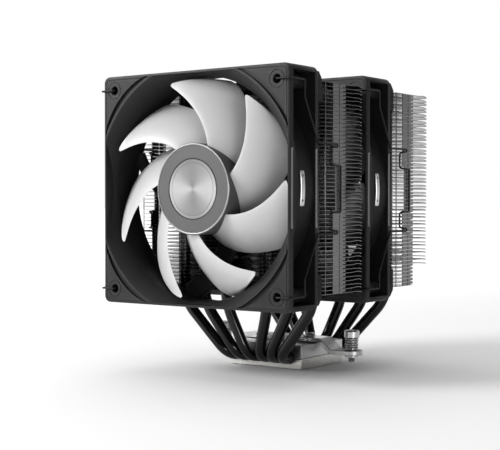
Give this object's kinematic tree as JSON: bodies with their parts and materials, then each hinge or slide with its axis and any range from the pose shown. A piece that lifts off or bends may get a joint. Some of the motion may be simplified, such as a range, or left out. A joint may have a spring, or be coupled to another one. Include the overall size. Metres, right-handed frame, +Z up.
{
  "type": "cpu tower cooler",
  "caption": "Dual-tower air cooler for a processor: stacked fins on U-shaped heat pipes over a flat cold plate, with two axial fans held by wire clips.",
  "frame": {"origin": "centre of the cold plate's contact face", "axes": "+Z up through the towers, +Y along the airflow from the front fan to the rear tower, +X to the right of someone facing the front fan"},
  "size_m": [0.1226, 0.1417, 0.157],
  "materials": {
    "frame_plastic": "fine moulded satin",
    "blade_plastic": "satin",
    "badge_metal": "spun and brushed",
    "pad_rubber": "matte",
    "fin_aluminium": "rolled sheet, satin",
    "pipe_coating": "gloss",
    "base_nickel": "nickel plated, milled",
    "cap_aluminium": "milled",
    "plated_steel": "plated",
    "clip_wire": "black oxide",
    "magnet": "matte",
    "bearing_bronze": "sintered",
    "winding_copper": "enamelled wire",
    "circuit_board": "solder mask"
  },
  "bodies": {
    "cooler": {"cold_plate": "base_nickel", "base_cap": "cap_aluminium", "heatpipe_1": "pipe_coating", "heatpipe_2": "pipe_coating", "heatpipe_3": "pipe_coating", "heatpipe_4": "pipe_coating", "heatpipe_5": "pipe_coating", "heatpipe_6": "pipe_coating", "front_fin_stack": "fin_aluminium", "rear_fin_stack": "fin_aluminium", "crossbar": "plated_steel", "left_bar_screw": "plated_steel", "left_spring": "plated_steel", "right_bar_screw": "plated_steel", "right_spring": "plated_steel", "front_fan_frame": "frame_plastic", "front_bearing_sleeve": "bearing_bronze", "front_stator_core": "plated_steel", "front_coil_bobbin": "winding_copper", "front_motor_board": "circuit_board", "front_left_side_badge": "badge_metal", "front_left_top_pad": "pad_rubber", "front_left_bottom_pad": "pad_rubber", "front_right_side_badge": "badge_metal", "front_right_top_pad": "pad_rubber", "front_right_bottom_pad": "pad_rubber", "rear_fan_frame": "frame_plastic", "rear_bearing_sleeve": "bearing_bronze", "rear_stator_core": "plated_steel", "rear_coil_bobbin": "winding_copper", "rear_motor_board": "circuit_board", "rear_left_side_badge": "badge_metal", "rear_left_top_pad": "pad_rubber", "rear_left_bottom_pad": "pad_rubber", "rear_right_side_badge": "badge_metal", "rear_right_top_pad": "pad_rubber", "rear_right_bottom_pad": "pad_rubber"},
    "front_fan_rotor": {"front_rotor": "blade_plastic", "front_hub_badge": "badge_metal", "front_magnet_ring": "magnet", "front_shaft": "plated_steel"},
    "rear_fan_rotor": {"rear_rotor": "blade_plastic", "rear_hub_badge": "badge_metal", "rear_magnet_ring": "magnet", "rear_shaft": "plated_steel"},
    "front_left_wire": {"front_left_clip": "clip_wire"},
    "front_right_wire": {"front_right_clip": "clip_wire"},
    "rear_left_wire": {"rear_left_clip": "clip_wire"},
    "rear_right_wire": {"rear_right_clip": "clip_wire"},
    "left_plunger": {"left_retaining_ring": "plated_steel"},
    "right_plunger": {"right_retaining_ring": "plated_steel"},
    "left_screw": {"left_spring_screw": "plated_steel"},
    "right_screw": {"right_spring_screw": "plated_steel"}
  },
  "joints": [
    {"name": "front_fan_spin", "type": "hinge", "parent": "cooler", "child": "front_fan_rotor", "pos_m": [0, -0.0725, 0.097], "axis": [0, 1, 0], "continuous": true},
    {"name": "rear_fan_spin", "type": "hinge", "parent": "cooler", "child": "rear_fan_rotor", "pos_m": [0, -0.0005, 0.097], "axis": [0, 1, 0], "continuous": true},
    {"name": "front_left_clip_swing", "type": "hinge", "parent": "cooler", "child": "front_left_wire", "pos_m": [-0.0525, -0.085, 0.097], "axis": [0, 0, 1], "range_deg": [0, 25]},
    {"name": "front_right_clip_swing", "type": "hinge", "parent": "cooler", "child": "front_right_wire", "pos_m": [0.0525, -0.085, 0.097], "axis": [0, 0, -1], "range_deg": [0, 25]},
    {"name": "rear_left_clip_swing", "type": "hinge", "parent": "cooler", "child": "rear_left_wire", "pos_m": [-0.0525, -0.013, 0.097], "axis": [0, 0, 1], "range_deg": [0, 11]},
    {"name": "rear_right_clip_swing", "type": "hinge", "parent": "cooler", "child": "rear_right_wire", "pos_m": [0.0525, -0.013, 0.097], "axis": [0, 0, -1], "range_deg": [0, 11]},
    {"name": "left_screw_press", "type": "slide", "parent": "cooler", "child": "left_plunger", "axis": [0, 0, -1], "range_m": [0, 0.003], "stiffness_N_per_m": 3000, "springref_m": -0.0005, "deforming": ["left_spring"]},
    {"name": "left_screw_turn", "type": "hinge", "parent": "left_plunger", "child": "left_screw", "pos_m": [-0.043, 0, 0.0168], "axis": [0, 0, 1], "continuous": true},
    {"name": "right_screw_press", "type": "slide", "parent": "cooler", "child": "right_plunger", "axis": [0, 0, -1], "range_m": [0, 0.003], "stiffness_N_per_m": 3000, "springref_m": -0.0005, "deforming": ["right_spring"]},
    {"name": "right_screw_turn", "type": "hinge", "parent": "right_plunger", "child": "right_screw", "pos_m": [0.043, 0, 0.0168], "axis": [0, 0, 1], "continuous": true}
  ]
}
